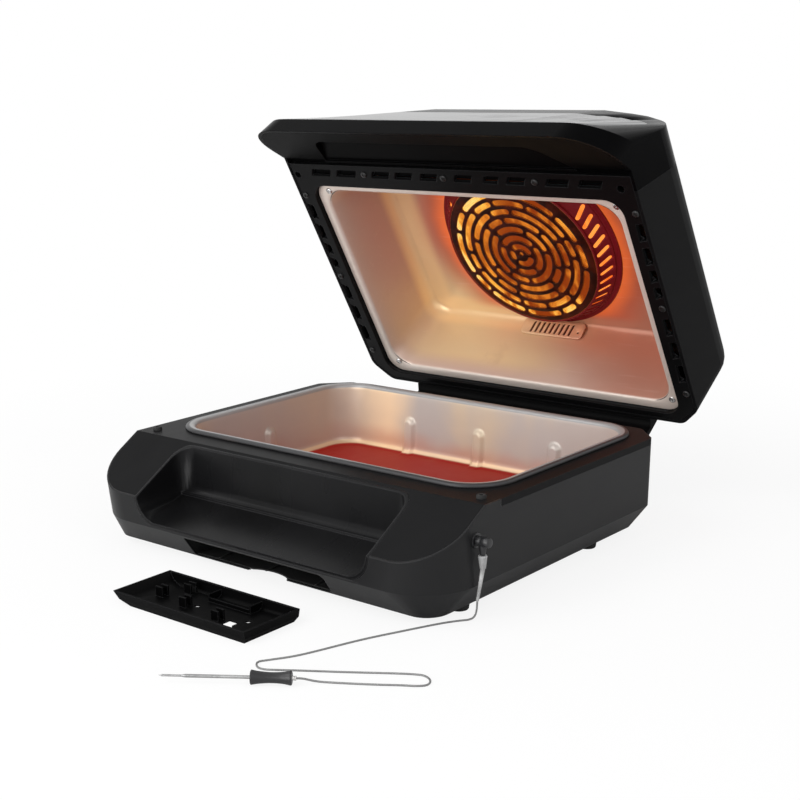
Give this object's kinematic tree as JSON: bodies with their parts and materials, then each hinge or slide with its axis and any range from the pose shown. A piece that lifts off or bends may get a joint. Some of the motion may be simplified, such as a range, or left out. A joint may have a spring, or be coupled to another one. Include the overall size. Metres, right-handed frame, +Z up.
{
  "type": "countertop air fryer grill",
  "caption": "Countertop grill and air fryer with a lift-out pan, a wide hinged lid with a fan behind a round guard, a storage tray and a probe on a cable.",
  "frame": {"origin": "on the table, under the middle of the base's footprint", "axes": "+X to the right seen from the front, +Y to the back, +Z up; the lid stands open"},
  "size_m": [0.4461, 0.672, 0.3749],
  "materials": {
    "body_plastic": "fine grained matt moulding, dark grey-black",
    "deck_plastic": "satin moulding, dark grey-black",
    "scoop_plastic": "glossy grey-black moulding",
    "gloss_black": "high gloss black",
    "panel_glass": "black glass-like touch panel, unmarked",
    "frame_plastic": "matt black",
    "inner_plastic": "matt black, hidden",
    "tray_plastic": "satin black",
    "rubber_black": "soft black rubber",
    "pan_steel": "satin steel",
    "liner_steel": "satin pressed steel",
    "well_steel": "plain sheet",
    "bright_steel": "bright steel",
    "guard_metal": "dark heat-stained coating",
    "heater_tube": "scaled heater tube",
    "motor_steel": "plain metal",
    "brass_pin": "plain brass",
    "board": "green laminate",
    "bracket_metal": "black painted steel",
    "screw_black": "blackened steel",
    "cable_grey": "grey sheath",
    "boot_grey": "pale grey soft sleeve",
    "plug_black": "black moulding"
  },
  "bodies": {
    "base": {"base_shell": "body_plastic", "top_cover": "deck_plastic", "scoop_liner": "scoop_plastic", "bottom_plate": "inner_plastic", "bottom_screws": "bright_steel", "rubber_feet": "rubber_black", "tray_bay": "inner_plastic", "cooking_pan": "pan_steel", "pan_well": "well_steel", "lower_heater": "heater_tube", "heater_clips": "well_steel", "pan_thermostat": "brass_pin", "power_board": "board", "deck_bumpers": "rubber_black", "probe_socket": "plug_black", "mains_gland": "rubber_black", "hinge_bracket_left": "bracket_metal", "hinge_bracket_right": "bracket_metal", "hinge_pin_left": "bright_steel", "hinge_pin_right": "bright_steel", "hinge_washers": "brass_pin", "jack_plug": "plug_black", "plug_sleeve": "boot_grey", "cable_boot": "boot_grey", "probe_cable": "cable_grey", "probe_ferrule": "bright_steel", "probe_handle": "plug_black", "probe_needle": "bright_steel"},
    "lid": {"lid_cover": "body_plastic", "lid_front_cap": "gloss_black", "control_panel": "panel_glass", "control_board": "board", "lid_grip": "frame_plastic", "lid_frame": "frame_plastic", "frame_screws": "screw_black", "lid_neck": "body_plastic", "lid_liner": "liner_steel", "liner_screws": "bright_steel", "fan_guard": "guard_metal", "guard_drum": "guard_metal", "vent_comb": "liner_steel", "upper_heater": "heater_tube", "heat_shield": "well_steel", "motor_bracket": "well_steel", "fan_motor": "motor_steel"},
    "fan": {"fan_shaft": "bright_steel", "fan_impeller": "well_steel", "cooling_fan": "plug_black"},
    "tray": {"storage_tray": "tray_plastic"}
  },
  "joints": [
    {"name": "lid_hinge", "type": "hinge", "parent": "base", "child": "lid", "pos_m": [0, 0.19305, 0.022], "axis": [1, 0, 0], "range_deg": [0, 60.6]},
    {"name": "fan_spin", "type": "hinge", "parent": "lid", "child": "fan", "pos_m": [0, 0.23251, 0.23655], "axis": [0, 0.8712, 0.4909], "continuous": true},
    {"name": "tray_slide", "type": "slide", "parent": "base", "child": "tray", "axis": [-0.1935, 0.9688, 0.1548], "range_m": [0, 0.09558]}
  ]
}
